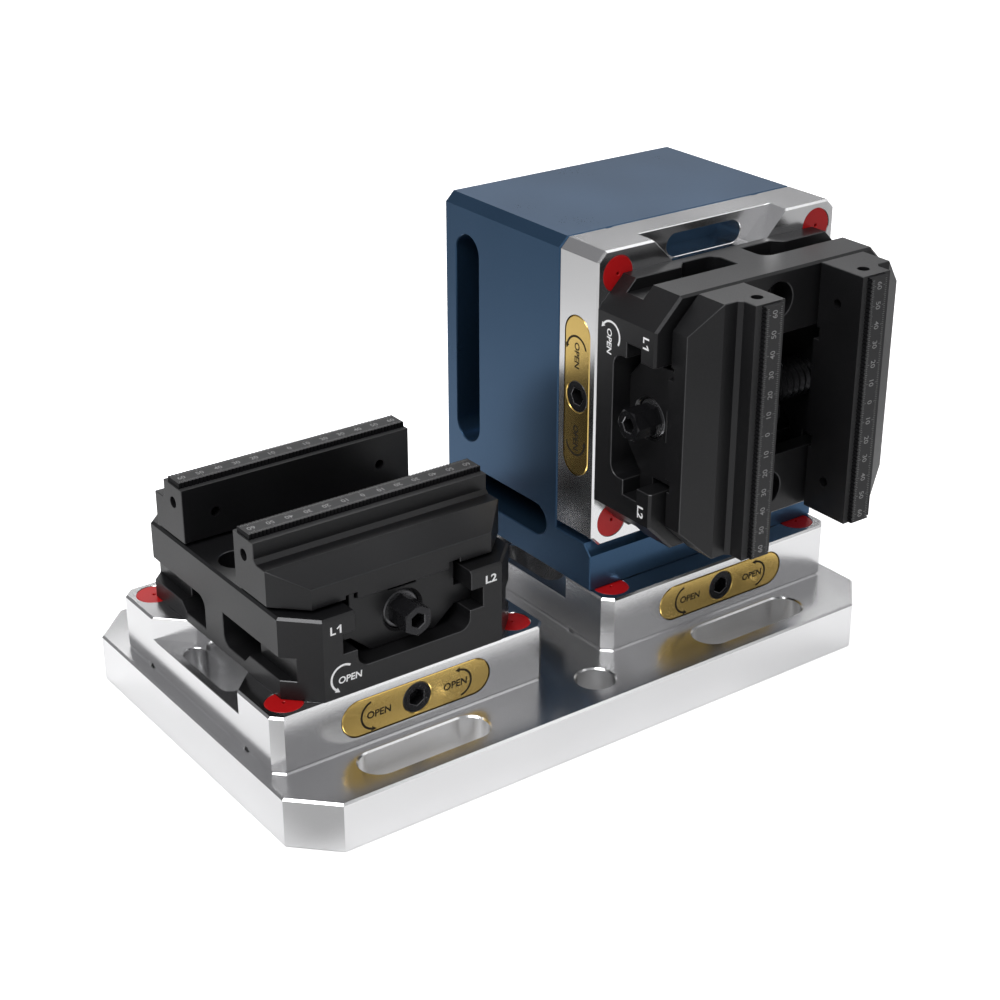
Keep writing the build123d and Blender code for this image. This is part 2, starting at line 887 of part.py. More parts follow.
def jaw_screws():
    top = carrier_top + jaw_screw_engagement
    screw = turned(
        [
            (0, jaw_screw_seat - jaw_screw_head_height),
            (jaw_screw_head / 2, jaw_screw_seat - jaw_screw_head_height),
            (jaw_screw_head / 2, jaw_screw_seat),
            (jaw_screw_thread / 2, jaw_screw_seat),
            (jaw_screw_thread / 2, top),
            (0, top),
        ]
    )
    return at_places(screw, jaw_screw_places())


def jaw():
    """The +Y jaw: a stepped block with a grip ledge on top and a sloped back."""
    points = [
        (jaw_inner, carrier_top),
        (jaw_inner, jaw_top),
        (jaw_back, jaw_top),
        (jaw_back, jaw_ledge + jaw_flare),
        (jaw_back + jaw_flare, jaw_ledge),
        (jaw_outer - jaw_slope_length, jaw_ledge),
        (jaw_outer, jaw_ledge - jaw_slope_drop),
        (jaw_outer, carrier_top),
    ]
    outline = Plane.YZ * make_face(Polyline(*points, close=True))
    half = vise_width / 2
    body = extrude(outline, half, both=True)
    over = 1.0
    corner = Polyline(
        (half - jaw_corner - over, jaw_outer + over),
        (half + over, jaw_outer + over),
        (half + over, jaw_outer - jaw_corner - over),
        close=True,
    )
    corner_cut = extrude(make_face(corner), jaw_top)
    underside = carrier_top + jaw_underside_rise
    notch_outer = carrier_half + lug_outer_gap
    notch_inner = carrier_half - carrier_lug_width - lug_side_gap
    notch_top = carrier_top + carrier_lug_height + lug_top_gap
    relief = block(notch_outer, half + over, 0, jaw_outer + over, 0, underside)
    notch = block(notch_inner, notch_outer, 0, jaw_outer + over, 0, notch_top)
    stop_z = jaw_top - stop_hole_drop
    stop = Pos(half + over, jaw_inner + stop_hole_setback, stop_z) * Rot(0, -90, 0)
    stop = stop * drilled(stop_hole, 0, stop_hole_depth + over)
    face = drilled(face_hole, -over, face_hole_depth)
    face = along_y(face, half - face_hole_inset, jaw_inner, jaw_top - face_hole_drop)
    for cutter in (corner_cut, relief, notch, stop, face):
        body = body - cutter - mirror(cutter, Plane.YZ)
    tapped = drilled(jaw_screw_thread + 2 * thread_clearance, 0, carrier_top + jaw_screw_engagement + over)
    body = cut_all(body, at_places(tapped, jaw_screw_places()))
    return body + grip()


def grip():
    """The grip ledge on the jaw, with a row of teeth along both long edges."""
    half = vise_width / 2 - grip_inset
    grip_inner = jaw_inner + grip_setback
    grip_outer = grip_inner + grip_length
    ledge = block(-half, half, grip_inner, grip_outer, jaw_top - 1, jaw_top + grip_height)
    count = int(2 * half // tooth_pitch)
    first = -(count - 1) * tooth_pitch / 2
    gullets = []
    for edge, inward in ((grip_inner, 1), (grip_outer, -1)):
        for i in range(count):
            x = first + i * tooth_pitch
            points = [
                (x - tooth_pitch / 4, edge - inward * 0.1),
                (x + tooth_pitch / 4, edge - inward * 0.1),
                (x, edge + inward * tooth_depth),
            ]
            gullets.append(make_face(Polyline(*points, close=True)))
    cutters = Pos(0, 0, jaw_top) * extrude(Sketch() + gullets, grip_height + 1)
    return ledge - cutters


def solids_of(pieces):
    """The separate solids of a piece or of a list of pieces."""
    group = pieces if isinstance(pieces, list) else [pieces]
    return [solid for piece in group for solid in piece.solids()]


def save(name, pieces, place):
    """Writes one node, moved to its place."""
    solids = [place * solid for solid in solids_of(pieces)]
    if len(solids) > 1:
        shape = Compound(children=solids)
    else:
        shape = solids[0]
    export_step(shape, "parts/" + name + ".step")


def save_module(name, place):
    save(name + "_body", module_body(), place)
    save(name + "_covers", module_covers(), place)
    save(name + "_cover_screws", cover_screws(), place)
    save(name + "_front_plate", front_plate(), place)
    save(name + "_drive_screw", drive_screw(), place)
    save(name + "_rear_lock_bar", lock_bar(), place)
    save(name + "_front_lock_bar", Rot(0, 0, 180) * lock_bar(), place)
    save(name + "_stud_bushes", stud_bushes(), place)
    save(name + "_bolts", module_bolts(), place)
    save(name + "_caps", module_caps(), place)


def save_vise(name, place):
    save(name + "_body", vise_body(), place)
    save(name + "_pull_studs", pull_studs(), place)
    save(name + "_centre_block", centre_block(), place)
    save(name + "_block_screws", centre_block_screws(), place)
    save(name + "_spindle", spindle(), place)
    for side, turn in (("rear", 0), ("front", 180)):
        swing = Rot(0, 0, turn)
        save(name + "_" + side + "_carrier", swing * carrier(), place)
        save(name + "_" + side + "_jaw", swing * jaw(), place)
        save(name + "_" + side + "_jaw_screws", [swing * screw for screw in jaw_screws()], place)


left_deck = Pos(left_x, module_offset_y, plate_height)
right_deck = Pos(right_x, module_offset_y, plate_height)
tower_deck = Pos(right_x, module_offset_y, deck)
upper_seat = Plane((right_x, tower_face_y, deck + face_centre), x_dir=(0, 0, -1), z_dir=(0, -1, 0)).location
upper_deck = upper_seat * Pos(0, 0, module_height)

save("base_plate", base_plate(), Pos(0, 0, 0))
save_module("left_module", left_deck)
save_module("right_module", right_deck)
save("tower_block", tower_block(), tower_deck)
save("tower_pull_studs", pull_studs(), tower_deck)
save_module("upper_module", upper_seat)
save_vise("left_vise", Pos(left_x, module_offset_y, deck))
save_vise("upper_vise", upper_deck)
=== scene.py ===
"""Looks for the zero point fixture: softened edges and finishes of its machined
parts, spindle threads, printed and engraved marks, the studio and the camera."""

import json
import math

import bmesh
import bpy
from mathutils import Matrix, Vector


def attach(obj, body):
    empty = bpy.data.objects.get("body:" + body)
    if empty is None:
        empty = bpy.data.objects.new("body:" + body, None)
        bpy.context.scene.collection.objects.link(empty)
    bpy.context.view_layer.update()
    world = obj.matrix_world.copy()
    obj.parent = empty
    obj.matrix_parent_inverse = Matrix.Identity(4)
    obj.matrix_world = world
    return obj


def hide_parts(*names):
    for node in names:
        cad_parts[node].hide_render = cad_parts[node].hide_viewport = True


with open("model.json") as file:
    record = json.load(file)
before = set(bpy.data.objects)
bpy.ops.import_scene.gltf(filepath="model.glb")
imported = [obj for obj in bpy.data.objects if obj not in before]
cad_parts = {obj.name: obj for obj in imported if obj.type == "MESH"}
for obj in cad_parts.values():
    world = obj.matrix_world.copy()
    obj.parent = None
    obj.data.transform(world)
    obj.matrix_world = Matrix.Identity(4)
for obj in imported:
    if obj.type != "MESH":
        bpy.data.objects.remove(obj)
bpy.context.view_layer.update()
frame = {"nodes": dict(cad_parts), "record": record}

MM = 0.001

# Places of the units, in mm: origin, local X and local Z in the fixture's frame
LEFT_X, RIGHT_X, DEPTH_Y = -95.5, 97.5, 1.5
PLATE_TOP, DECK, FACE_Z = 26.5, 56.0, 158.5
UP, FORWARD, DOWN, ALONG = (0, 0, 1), (0, -1, 0), (0, 0, -1), (1, 0, 0)
MODULES = {
    "left_module": ((LEFT_X, DEPTH_Y, PLATE_TOP), ALONG, UP),
    "right_module": ((RIGHT_X, DEPTH_Y, PLATE_TOP), ALONG, UP),
    "upper_module": ((RIGHT_X, -33.0, FACE_Z), DOWN, FORWARD),
}
VISES = {
    "left_vise": ((LEFT_X, DEPTH_Y, DECK), ALONG, UP),
    "upper_vise": ((RIGHT_X, -62.5, FACE_Z), DOWN, FORWARD),
}
ENDS = ("front", "rear")

# Module sizes in its own mm; the front plate's reach is half its length and height
MODULE_FRONT = -77.5
DRIVE_HEIGHT = 15.0
PLATE_REACH = (42.5, 10.0)
PLATE_GAP = 0.45
PLATE_RIM = 0.3
CRISP_MARGIN = 0.5

# Vise sizes in its own mm
VISE_FRONT = -77.0
JAW_TOP = 75.3
LEDGE_FOOT = 72.3
STRIP_MIDDLE = 33.95
STRIP_EDGES = (28.9, 39.0)
SPINDLE_HEIGHT = 28.0

# Spindle radii and places along it, in mm
NECK_RADIUS = 7
NECK_END = 8.6
COLLAR_RADIUS = 9.7
COLLAR_START = 8.0
COLLAR_CHAMFER = 0.3
INNER_RADIUS = 8
THREAD_START = 9.6
THREAD_END = 63.4
THREAD_LEAD = 4.0
THREAD_FLAT = 0.7
CREST_RADIUS = 9.95
ROOT_RADIUS = 8.35
SPINDLE_END = 65.0
END_RADIUS = 9.0
END_CHAMFER = 0.5
END_HOLE = 5

# Heights of flat marks over the face that they lie on, and how far a jaw's top sinks for them, in mm
PRINT_RISE = 0.03
ENGRAVING_RISE = 0.02
SCALE_DROP = 0.02
TOP_SINK = 0.05


def seat(place):
    """The matrix from a unit's own millimetres to the fixture's metres."""
    origin, along, normal = (Vector(v) for v in place)
    turn = Matrix((along, normal.cross(along), normal)).transposed().to_4x4()
    turn.translation = origin
    return Matrix.Scale(MM, 4) @ turn


# ---- Finishes ----

MARK_SCALE = 900
PATCH_SCALE = 18
MARK_SHARE, PATCH_SHARE = 0.4, 0.6
MARK_DEPTH = 0.0002


def tool_marks_group():
    """Fine tool marks: noise stretched by the scale on each axis."""
    group = bpy.data.node_groups.new("tool_marks", "ShaderNodeTree")
    face = group.interface
    scale = face.new_socket("Scale", in_out="INPUT", socket_type="NodeSocketVector")
    scale.default_value = (MARK_SCALE, MARK_SCALE, MARK_SCALE)
    detail = face.new_socket("Detail", in_out="INPUT", socket_type="NodeSocketFloat")
    detail.default_value = 3.0
    face.new_socket("Mask", in_out="OUTPUT", socket_type="NodeSocketFloat")
    nodes, links = group.nodes, group.links
    given = nodes.new("NodeGroupInput")
    out = nodes.new("NodeGroupOutput")
    place = nodes.new("ShaderNodeTexCoord")
    stretch = nodes.new("ShaderNodeVectorMath")
    stretch.operation = "MULTIPLY"
    noise = nodes.new("ShaderNodeTexNoise")
    noise.inputs["Scale"].default_value = 1.0
    spread = nodes.new("ShaderNodeMapRange")
    spread.inputs["From Min"].default_value = 0.3
    spread.inputs["From Max"].default_value = 0.7
    links.new(place.outputs["Object"], stretch.inputs[0])
    links.new(given.outputs["Scale"], stretch.inputs[1])
    links.new(stretch.outputs[0], noise.inputs["Vector"])
    links.new(given.outputs["Detail"], noise.inputs["Detail"])
    links.new(noise.outputs["Fac"], spread.inputs["Value"])
    links.new(spread.outputs["Result"], out.inputs["Mask"])
    return group


TOOL_MARKS = tool_marks_group()


def finish(name, colour, second, metallic, rough, bump=0.02, grip=0.5):
    """A machined finish: two close colours and a roughness range, mixed by tool marks and
    soft patches. The grip is the shader's specular level."""
    material = bpy.data.materials.new(name)
    material.use_nodes = True
    nodes, links = material.node_tree.nodes, material.node_tree.links
    shader = nodes["Principled BSDF"]
    shader.inputs["Metallic"].default_value = metallic
    shader.inputs["Specular IOR Level"].default_value = grip

    fine = nodes.new("ShaderNodeGroup")
    fine.node_tree = TOOL_MARKS
    soft = nodes.new("ShaderNodeGroup")
    soft.node_tree = TOOL_MARKS
    soft.inputs["Scale"].default_value = (PATCH_SCALE, PATCH_SCALE, PATCH_SCALE)
    soft.inputs["Detail"].default_value = 1.0

    blend = nodes.new("ShaderNodeMath")
    blend.operation = "MULTIPLY_ADD"
    blend.inputs[1].default_value = MARK_SHARE
    patches = nodes.new("ShaderNodeMath")
    patches.operation = "MULTIPLY"
    patches.inputs[1].default_value = PATCH_SHARE
    links.new(soft.outputs["Mask"], patches.inputs[0])
    links.new(fine.outputs["Mask"], blend.inputs[0])
    links.new(patches.outputs[0], blend.inputs[2])

    tint = nodes.new("ShaderNodeMix")
    tint.data_type = "RGBA"
    tint.inputs["A"].default_value = (*colour, 1)
    tint.inputs["B"].default_value = (*second, 1)
    links.new(blend.outputs[0], tint.inputs["Factor"])
    links.new(tint.outputs["Result"], shader.inputs["Base Color"])

    rub = nodes.new("ShaderNodeMapRange")
    rub.inputs["To Min"].default_value = rough[0]
    rub.inputs["To Max"].default_value = rough[1]
    links.new(blend.outputs[0], rub.inputs["Value"])
    links.new(rub.outputs["Result"], shader.inputs["Roughness"])

    relief = nodes.new("ShaderNodeBump")
    relief.inputs["Strength"].default_value = bump
    relief.inputs["Distance"].default_value = MARK_DEPTH
    links.new(fine.outputs["Mask"], relief.inputs["Height"])
    links.new(relief.outputs["Normal"], shader.inputs["Normal"])
    return material


FINISHES = {
    "base_aluminium": finish(
        "milled_aluminium", (0.84, 0.84, 0.845), (0.89, 0.89, 0.895), 1.0, (0.19, 0.25)
    ),
    "module_steel": finish("ground_steel", (0.81, 0.81, 0.815), (0.87, 0.87, 0.875), 1.0, (0.17, 0.23)),
    "brass_plate": finish("satin_brass", (0.80, 0.55, 0.16), (0.87, 0.62, 0.21), 1.0, (0.20, 0.28)),
    "black_oxide": finish("black_oxide", (0.018, 0.018, 0.020), (0.030, 0.030, 0.033), 0.6, (0.20, 0.30)),
    "hardened_steel": finish("hardened_steel", (0.45, 0.45, 0.46), (0.55, 0.55, 0.56), 1.0, (0.2, 0.3)),
    "red_cap": finish(
        "red_cap", (0.48, 0.006, 0.008), (0.54, 0.008, 0.010), 0.0, (0.34, 0.42), bump=0.01, grip=0.3
    ),
    "tower_blue": finish("blue_anodised", (0.036, 0.085, 0.160), (0.044, 0.098, 0.180), 0.8, (0.27, 0.33)),
    "vise_black": finish(
        "blackened_steel", (0.009, 0.009, 0.010), (0.014, 0.014, 0.015), 0.2, (0.30, 0.40), grip=0.46
    ),
}
# Painted highlight: lighter, more metallic copies of the black finishes for broken edges and chamfers,
# standing in for the light that they catch
EDGE_HIGHLIGHTS = {
    "vise_black": finish("painted_highlight_black_edge", (0.060, 0.060, 0.062), (0.085, 0.085, 0.088), 0.7, (0.34, 0.42)),
    "black_oxide": finish("painted_highlight_oxide_edge", (0.10, 0.10, 0.105), (0.14, 0.14, 0.145), 0.7, (0.24, 0.32)),
}
# Painted shade: a darker, duller black for the sides of a jaw's teeth, standing in for the shade in the
# serrations
PAINTED_TOOTH_SHADE = finish(
    "painted_tooth_shade", (0.004, 0.004, 0.005), (0.008, 0.008, 0.009), 0.0, (0.6, 0.7), grip=0.15
)
GRIP_GREY = finish("grip_grey", (0.036, 0.036, 0.037), (0.050, 0.050, 0.051), 0.0, (0.50, 0.60), grip=0.15)
WHITE_PRINT = finish("white_print", (0.94, 0.94, 0.94), (0.98, 0.98, 0.98), 0.0, (0.45, 0.6), bump=0.01)
GREY_ENGRAVING = finish("grey_engraving", (0.22, 0.22, 0.22), (0.30, 0.30, 0.30), 0.2, (0.5, 0.6), bump=0.01)
DARK_ENGRAVING = finish(
    "dark_engraving", (0.020, 0.015, 0.008), (0.032, 0.024, 0.012), 0.0, (0.6, 0.7), bump=0.01, grip=0.2
)

SLOT_OF = {row["node"]: row["material_slot"] for row in frame["record"]["subparts"]}
BODY_OF = {node: body for body, nodes in frame["record"]["behaviour"]["bodies"].items() for node in nodes}


def new_piece(name, work, material, body):
    """A piece of the fixture from its bmesh, which is already in place."""
    mesh = bpy.data.meshes.new(name)
    work.to_mesh(mesh)
    work.free()
    mesh.materials.append(material)
    piece = bpy.data.objects.new(name, mesh)
    bpy.context.scene.collection.objects.link(piece)
    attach(piece, body)
    return piece


# ---- Softened copies of the machined parts ----

# Angles between faces: edges above SHARP get broken, normals blend across edges below
# CREASE, and faces within FLAT are one flat region
SHARP = math.radians(60)
CREASE = math.radians(26)
FLAT = math.radians(0.4)

# A chamfer has this share of its outline on sloped edges and is narrower than this, in mm
SLOPED_SHARE = 0.7
CHAMFER_WIDTH = 0.8

# Widths of the broken edges, in mm
SOFT_EDGES = {"base_plate": 0.3, "tower_block": 0.5}
for unit in MODULES:
    SOFT_EDGES[unit + "_drive_screw"] = 0.3
    SOFT_EDGES[unit + "_caps"] = 0.25
for unit in VISES:
    SOFT_EDGES[unit + "_body"] = 0.35
    SOFT_EDGES[unit + "_centre_block"] = 0.3
    for end in ENDS:
        SOFT_EDGES[f"{unit}_{end}_carrier"] = 0.3
MODULE_EDGE = 0.3
FRONT_PLATE_EDGE = 0.4
JAW_EDGE = 0.3
NOSE_EDGE = 0.4

# Material places in a softened copy: plain; painted highlight on edges and chamfers; tooth sides painted
# dark as shade; the grip's top
PLAIN, HIGHLIT_EDGE, SHADED_TOOTH_SIDE, LEDGE_TOP = range(4)


def flat_regions(work):
    """The flat regions of the mesh, each as a list of faces."""
    regions, seen = [], set()
    for first in work.faces:
        if first.index in seen:
            continue
        region, queue = [], [first]
        seen.add(first.index)
        while queue:
            face = queue.pop()
            region.append(face)
            for edge in face.edges:
                if len(edge.link_faces) != 2 or edge.calc_face_angle(math.pi) > FLAT:
                    continue
                for other in edge.link_faces:
                    if other.index not in seen:
                        seen.add(other.index)
                        queue.append(other)
        regions.append(region)
    return regions


def chamfers(work):
    """The faces of the CAD's narrow chamfers, which slope to both of their neighbours."""
    work.faces.index_update()
    found = []
    for region in flat_regions(work):
        edges = {edge for face in region for edge in face.edges if edge.calc_face_angle(0) > CREASE}
        total = sum(edge.calc_length() for edge in edges)
        sloped = sum(
            edge.calc_length() for edge in edges if edge.is_convex and edge.calc_face_angle(0) < SHARP
        )
        area = sum(face.calc_area() for face in region)
        if sloped > SLOPED_SHARE * total and area < CHAMFER_WIDTH * MM * sloped:
            found += region
    return found


def blended_normals(work):
    """Corner normals that leave flat faces flat and turn only across rounded ones."""
    work.faces.index_update()
    area = {}
    for region in flat_regions(work):
        total = sum(face.calc_area() for face in region) / MM**2
        area.update({face.index: total for face in region})
    corner = {}
    for vertex in work.verts:
        left = set(vertex.link_faces)
        while left:
            group, queue = [], [left.pop()]
            while queue:
                face = queue.pop()
                group.append(face)
                for edge in face.edges:
                    if vertex not in edge.verts or edge.calc_face_angle(math.pi) > CREASE:
                        continue
                    for other in edge.link_faces:
                        if other in left:
                            left.discard(other)
                            queue.append(other)
            total = Vector((0, 0, 0))
            for face in group:
                total += face.normal * area[face.index] ** 1.5
            total = total.normalized() if total.length > 0 else group[0].normal.copy()
            for face in group:
                corner[(face.index, vertex.index)] = total
    return [corner[(face.index, loop.vert.index)] for face in work.faces for loop in face.loops]


def cad_copy(node):
    """A bmesh copy of a CAD node, its doubled vertices merged and its texture layers dropped."""
    work = bmesh.new()
    work.from_mesh(frame["nodes"][node].data)
    bmesh.ops.remove_doubles(work, verts=work.verts, dist=0.002 * MM)
    for layer in list(work.loops.layers.uv.values()):
        work.loops.layers.uv.remove(layer)
    return work


def chamfer(work, edges, width):
    """Chamfers the edges by the width, in the mesh's own units. Returns the new faces."""
    made = bmesh.ops.bevel(
        work,
        geom=edges,
        offset=width,
        offset_type="OFFSET",
        segments=1,
        profile=0.5,
        affect="EDGES",
        clamp_overlap=False,
        material=-1,
    )
    return made["faces"]


def break_edges(work, width, keep=None):
    """Chamfers the outer edges sharper than 60 degrees, except those that keep() holds."""
    work.normal_update()
    edges = []
    for edge in work.edges:
        if len(edge.link_faces) != 2 or not edge.is_convex or edge.calc_face_angle(0) < SHARP:
            continue
        if keep is None or not keep(edge):
            edges.append(edge)
    made = chamfer(work, edges, width * MM)
    work.normal_update()
    return made


def stand_for(node, name, work, extra=()):
    """The piece that stands for a CAD node: its finish, the painted highlight of its edges and any extra
    finishes.
    """
    slot = SLOT_OF[node]
    work.verts.index_update()
    normals = blended_normals(work)
    for face in work.faces:
        face.smooth = True
    piece = new_piece(name, work, FINISHES[slot], BODY_OF[node])
    if slot in EDGE_HIGHLIGHTS:
        piece.data.materials.append(EDGE_HIGHLIGHTS[slot])
    for material in extra:
        piece.data.materials.append(material)
    piece.data.normals_split_custom_set(normals)
    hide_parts(node)


def softened(node, width, keep=None, before=None, after=None, extra=()):
    """A copy of a CAD node with its edges broken, standing for the node. The mesh goes
    through before() and after() on either side of that."""
    work = cad_copy(node)
    if before:
        before(work)
    # CAD chamfers and broken edges take the painted highlight where the finish has one
    highlit = HIGHLIT_EDGE if SLOT_OF[node] in EDGE_HIGHLIGHTS else PLAIN
    for face in chamfers(work):
        face.material_index = highlit
    for face in break_edges(work, width, keep):
        face.material_index = highlit
    if after:
        after(work)
    stand_for(node, node + "_finished", work, extra)


def softened_module(unit):
    """A module's body with its edges broken, but crisp around the seat of its front plate."""
    home = seat(MODULES[unit]).inverted()
    half, tall = PLATE_REACH

    def beside_plate(edge):
        places = [home @ vertex.co for vertex in edge.verts]
        in_front = all(place.y < MODULE_FRONT + 0.1 for place in places)
        return in_front and all(
            abs(place.x) < half + CRISP_MARGIN and abs(place.z - DRIVE_HEIGHT) < tall + CRISP_MARGIN
            for place in places
        )

    softened(unit + "_body", MODULE_EDGE, keep=beside_plate)


def softened_plate(unit):
    """A front plate with a broken edge, its outline drawn in so that a gap shows around it."""
    home = seat(MODULES[unit]).inverted()
    half, radius = PLATE_REACH

    def draw_in(work):
        for vertex in work.verts:
            place = home @ vertex.co
            end = half - radius
            core = Vector((max(-end, min(end, place.x)), place.y, DRIVE_HEIGHT))
            out = place - core
            if out.length > radius - PLATE_RIM:
                vertex.co = home.inverted() @ (core + out * (1 - PLATE_GAP / out.length))

    softened(unit + "_front_plate", FRONT_PLATE_EDGE, before=draw_in)


def softened_jaw(unit, end):
    """A jaw with its edges broken but its teeth and small holes left crisp, and its top sunk to make room
    for the scale. The grip's faces other than its top are painted dark as shade."""
    home = seat(VISES[unit]).inverted()

    def on_ledge(part):
        return all((home @ vertex.co).z > LEDGE_FOOT for vertex in part.verts)

    def kept(edge):
        return on_ledge(edge) or edge.calc_length() < MM

    def sink_top(work):
        up = seat(VISES[unit]).to_3x3().normalized() @ Vector((0, 0, 1))
        top = [vertex for vertex in work.verts if (home @ vertex.co).z > JAW_TOP - 0.2]
        bmesh.ops.translate(work, vec=up * -TOP_SINK * MM, verts=top)
        # The grip's upward faces keep the grey; its other faces get the painted shade
        for face in work.faces:
            if on_ledge(face):
                face.material_index = LEDGE_TOP if face.normal.dot(up) > 0.9 else SHADED_TOOTH_SIDE

    softened(f"{unit}_{end}_jaw", JAW_EDGE, keep=kept, after=sink_top, extra=(PAINTED_TOOTH_SHADE, GRIP_GREY))


for node, item in frame["nodes"].items():
    item.data.materials.clear()
    item.data.materials.append(FINISHES[SLOT_OF[node]])

for node, width in SOFT_EDGES.items():
    softened(node, width)
for unit in MODULES:
    softened_module(unit)
    softened_plate(unit)
for unit in VISES:
    for end in ENDS:
        softened_jaw(unit, end)


# ---- Vise spindles ----

THREAD_STEPS = 28
WELD = 0.001


def chain(work, points):
    """Edges from point to point. Returns the vertices and edges."""
    verts = [bmesh.ops.create_vert(work, co=point)["vert"][0] for point in points]
    return verts + [work.edges.new(pair) for pair in zip(verts, verts[1:])]


def spun(work, points):
    """A ring of a spindle: (radius, y) points turned about the local Y axis."""
    bmesh.ops.spin(
        work,
        geom=chain(work, [(r, y, 0) for r, y in points]),
        cent=(0, 0, 0),
        axis=(0, 1, 0),
        dvec=(0, 0, 0),
        angle=2 * math.pi,
        steps=48,
        use_merge=True,
    )


def cut_away(work, y, side):
    """Removes all that lies past y on the local Y axis, on the side 1 or -1."""
    everything = work.verts[:] + work.edges[:] + work.faces[:]
    bmesh.ops.bisect_plane(
        work, geom=everything, plane_co=(0, y, 0), plane_no=(0, side, 0), clear_outer=True
    )


def threaded(low, high, hand):
    """A length of trapezoid thread on the local Y axis; hand is 1 or -1."""
    work = bmesh.new()
    slope = (THREAD_LEAD - 2 * THREAD_FLAT) / 2
    profile = [
        (ROOT_RADIUS, 0),
        (ROOT_RADIUS, THREAD_FLAT),
        (CREST_RADIUS, THREAD_FLAT + slope),
        (CREST_RADIUS, 2 * THREAD_FLAT + slope),
        (ROOT_RADIUS, THREAD_LEAD),
    ]
    start = low - THREAD_LEAD
    turns = int((high - low) / THREAD_LEAD) + 2
    bmesh.ops.spin(
        work,
        geom=chain(work, [(r, start + y, 0) for r, y in profile]),
        cent=(0, 0, 0),
        axis=(0, hand, 0),
        dvec=(0, THREAD_LEAD / THREAD_STEPS, 0),
        angle=2 * math.pi * turns,
        steps=THREAD_STEPS * turns,
    )
    bmesh.ops.remove_doubles(work, verts=work.verts, dist=WELD)
    cut_away(work, low, -1)
    cut_away(work, high, 1)
    return work


def join(work, other):
    """Adds the bmesh other to work."""
    spare = bpy.data.meshes.new("spare")
    other.to_mesh(spare)
    other.free()
    work.from_mesh(spare)
    bpy.data.meshes.remove(spare)


def spindle_nose(unit):
    """The hexagonal nose of the CAD spindle, cut off at the end of the thread."""
    work = cad_copy(unit + "_spindle")
    work.transform((seat(VISES[unit]) @ Matrix.Translation((0, 0, SPINDLE_HEIGHT))).inverted())
    cut_away(work, -SPINDLE_END - 0.01, 1)
    tip = min(vertex.co.y for vertex in work.verts) + 0.01
    rim = [edge for edge in work.edges if all(vertex.co.y < tip for vertex in edge.verts)]
    rim = [edge for edge in rim if edge.is_convex and edge.calc_face_angle(0) > SHARP]
    # The nose's chamfered rim takes the painted highlight
    for face in chamfer(work, rim, NOSE_EDGE):
        face.material_index = HIGHLIT_EDGE
    return work


def threaded_spindle(unit):
    """The spindle with its two opposite threads, plain collars and hexagonal nose."""
    work = bmesh.new()
    for side in (-1, 1):
        start, stop, end = side * THREAD_START, side * THREAD_END, side * SPINDLE_END
        join(work, threaded(*sorted((start, stop)), side))
        inner_collar = [
            (NECK_RADIUS, side * COLLAR_START),
            (COLLAR_RADIUS - COLLAR_CHAMFER, side * COLLAR_START),
            (COLLAR_RADIUS, side * (COLLAR_START + COLLAR_CHAMFER)),
            (COLLAR_RADIUS, start),
            (INNER_RADIUS, start),
        ]
        outer_collar = [
            (INNER_RADIUS, stop),
            (COLLAR_RADIUS, stop),
            (COLLAR_RADIUS, end - side * END_CHAMFER),
            (END_RADIUS, end),
            (END_HOLE, end),
        ]
        spun(work, inner_collar)
        spun(work, outer_collar)
    spun(work, [(0, SPINDLE_END), (END_RADIUS, SPINDLE_END)])
    spun(work, [(NECK_RADIUS, -NECK_END), (NECK_RADIUS, NECK_END)])
    bmesh.ops.remove_doubles(work, verts=work.verts, dist=WELD)
    bmesh.ops.recalc_face_normals(work, faces=work.faces)
    # The end chamfers and end faces take the painted highlight
    for face in work.faces:
        if all(abs(vertex.co.y) > SPINDLE_END - END_CHAMFER - 0.1 for vertex in face.verts):
            face.material_index = HIGHLIT_EDGE
    join(work, spindle_nose(unit))
    work.transform(seat(VISES[unit]) @ Matrix.Translation((0, 0, SPINDLE_HEIGHT)))
    work.normal_update()
    node = unit + "_spindle"
    stand_for(node, node + "_threaded", work)


for unit in VISES:
    threaded_spindle(unit)


# ---- Printed and engraved marks ----

# A mark is drawn flat on XY in mm, with X and Y as the unit's own x and z
TICKS = range(-63, 64)
TICK_WIDTH = 0.16
TICK_INSET = 0.35
LONG_TICK, MIDDLE_TICK, SHORT_TICK = 2.2, 1.5, 1.1
NUMERAL_HEIGHT = 3.0
LABEL_HEIGHT = 4.3


def lettering(words, size, shear=0.0, weight=0.0):
    """Flat words on the XY plane, centred, of the given (width, height). A width of None
    keeps the font's own."""
    curve = bpy.data.curves.new("words", "FONT")
    curve.body = words
    curve.size = 5.0
    curve.shear = shear
    curve.offset = weight
    curve.resolution_u = 4
    curve.fill_mode = "FRONT"
    writer = bpy.data.objects.new("words", curve)
    bpy.context.scene.collection.objects.link(writer)
    bpy.context.view_layer.update()
    mesh = bpy.data.meshes.new_from_object(writer.evaluated_get(bpy.context.evaluated_depsgraph_get()))
    bpy.data.objects.remove(writer)
    bpy.data.curves.remove(curve)
    work = bmesh.new()
    work.from_mesh(mesh)
    bpy.data.meshes.remove(mesh)
    low = Vector([min(vertex.co[i] for vertex in work.verts) for i in range(3)])
    high = Vector([max(vertex.co[i] for vertex in work.verts) for i in range(3)])
    width, height = size
    tall = height / (high.y - low.y)
    wide = tall if width is None else width / (high.x - low.x)
    work.transform(Matrix.Diagonal((wide, tall, 1, 1)) @ Matrix.Translation(-(low + high) / 2))
    return work


def at(work, words, x, z):
    """Adds words to a mark, centred at a place."""
    words.transform(Matrix.Translation((x, z, 0)))
    join(work, words)


